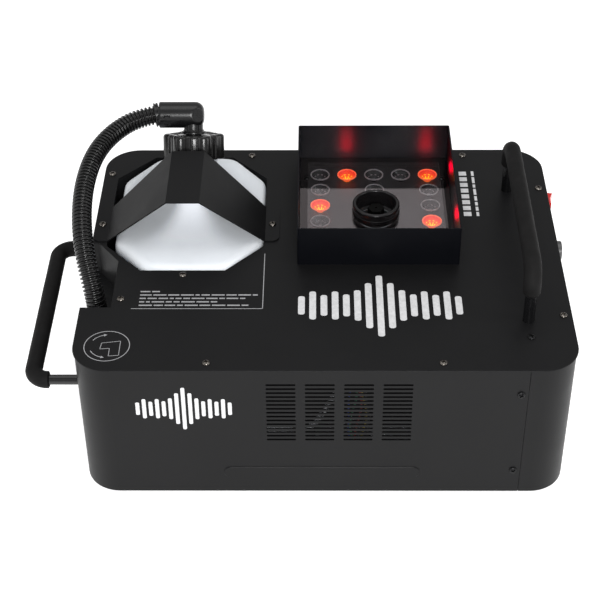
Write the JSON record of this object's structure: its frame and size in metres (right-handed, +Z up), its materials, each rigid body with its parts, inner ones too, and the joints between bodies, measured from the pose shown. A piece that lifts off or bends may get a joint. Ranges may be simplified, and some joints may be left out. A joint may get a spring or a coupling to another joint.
{
  "type": "vertical fog machine",
  "caption": "Vertical fog machine: black sheet-metal case, white fluid tank with hose and screw cap, upward nozzle in an LED head, side and top handles.",
  "frame": {"origin": "on the floor, under the middle of the whole machine with its side handle and its switch", "axes": "+Z up, +X along the long side from the tank to the controls, -Y to the front with the vents"},
  "size_m": [0.5712, 0.3896, 0.266],
  "materials": {
    "case_paint": "fine-textured satin black powder coat",
    "tank_plastic": "translucent white blow-moulded plastic",
    "moulded_black": "smooth moulded black plastic",
    "seal_rubber": "matt rubber",
    "hose_plastic": "black corrugated conduit",
    "grip_foam": "matt foam rubber sleeve",
    "rod_steel": "gloss black bar",
    "screw_steel": "blackened cross-recessed heads",
    "window_glass": "clear sheet",
    "lens_clear": "clear moulded lenses",
    "circuit_board": "solder-masked board",
    "nozzle_black": "turned and blackened",
    "brass": "machined",
    "zinc_sheet": "zinc-plated sheet",
    "cast_aluminium": "as cast",
    "heater_steel": "drawn steel",
    "insulation": "mineral wool board",
    "coil": "varnished coil",
    "line_plastic": "fluoropolymer tube and wire jackets",
    "rocker_red": "translucent red rocker",
    "button_grey": "moulded key"
  },
  "bodies": {
    "case": {"body_wrap": "case_paint", "bottom_pan": "case_paint", "case_screws": "screw_steel", "control_wires": "line_plastic", "display_module": "moulded_black", "display_window": "window_glass", "dmx_sockets": "moulded_black", "elbow_body": "moulded_black", "end_cover": "case_paint", "fan_frame": "moulded_black", "fluid_lines": "line_plastic", "fuse_holder": "moulded_black", "handle_nuts": "rod_steel", "heat_shield": "zinc_sheet", "heater_block": "cast_aluminium", "heater_bracket": "zinc_sheet", "heater_elements": "heater_steel", "heater_jacket": "insulation", "hose": "hose_plastic", "hose_collar": "moulded_black", "hose_gland": "moulded_black", "hose_recess": "case_paint", "led_board": "circuit_board", "led_lenses": "lens_clear", "led_shroud": "case_paint", "led_window": "window_glass", "main_board": "circuit_board", "nozzle_pipe": "brass", "nozzle_ring": "nozzle_black", "power_inlet": "moulded_black", "power_supply": "zinc_sheet", "pump_body": "brass", "pump_coil": "coil", "pump_frame": "zinc_sheet", "remote_socket": "nozzle_black", "rubber_feet": "seal_rubber", "side_handle_grip": "grip_foam", "side_handle_rod": "rod_steel", "suction_tube": "hose_plastic", "switch_bezel": "moulded_black", "tank": "tank_plastic", "tank_bay": "case_paint", "tank_guard": "case_paint", "thermostat": "zinc_sheet", "top_cover": "case_paint", "top_handle_grip": "grip_foam", "top_handle_rod": "rod_steel", "top_screws": "screw_steel", "window_screws": "screw_steel"},
    "cap": {"tank_cap": "moulded_black", "cap_seal": "seal_rubber"},
    "rocker": {"switch_rocker": "rocker_red"},
    "fan": {"fan_rotor": "moulded_black"},
    "plunger": {"pump_plunger": "heater_steel"},
    "fuse": {"fuse_cap": "moulded_black"},
    "button_1": {"menu_button_1": "button_grey"},
    "button_2": {"menu_button_2": "button_grey"},
    "button_3": {"menu_button_3": "button_grey"},
    "button_4": {"menu_button_4": "button_grey"}
  },
  "joints": [
    {"name": "cap_turn", "type": "hinge", "parent": "case", "child": "cap", "pos_m": [-0.1215, 0.136, 0.2205], "axis": [0, 0.454, 0.891], "continuous": true},
    {"name": "rocker_tilt", "type": "hinge", "parent": "case", "child": "rocker", "pos_m": [0.2726, 0.131, 0.145], "axis": [0, 0, 1], "range_deg": [0, 18]},
    {"name": "fan_spin", "type": "hinge", "parent": "case", "child": "fan", "pos_m": [0.164, 0.18, 0.092], "axis": [0, 1, 0], "continuous": true},
    {"name": "plunger_stroke", "type": "slide", "parent": "case", "child": "plunger", "axis": [1, 0, 0], "range_m": [-0.003, 0.003], "stiffness_N_per_m": 600},
    {"name": "fuse_turn", "type": "hinge", "parent": "case", "child": "fuse", "pos_m": [0.2726, 0.078, 0.085], "axis": [1, 0, 0], "range_deg": [0, 90]},
    {"name": "button_1_press", "type": "slide", "parent": "case", "child": "button_1", "axis": [-1, 0, 0], "range_m": [0, 0.001], "stiffness_N_per_m": 300},
    {"name": "button_2_press", "type": "slide", "parent": "case", "child": "button_2", "axis": [-1, 0, 0], "range_m": [0, 0.001], "stiffness_N_per_m": 300},
    {"name": "button_3_press", "type": "slide", "parent": "case", "child": "button_3", "axis": [-1, 0, 0], "range_m": [0, 0.001], "stiffness_N_per_m": 300},
    {"name": "button_4_press", "type": "slide", "parent": "case", "child": "button_4", "axis": [-1, 0, 0], "range_m": [0, 0.001], "stiffness_N_per_m": 300}
  ]
}
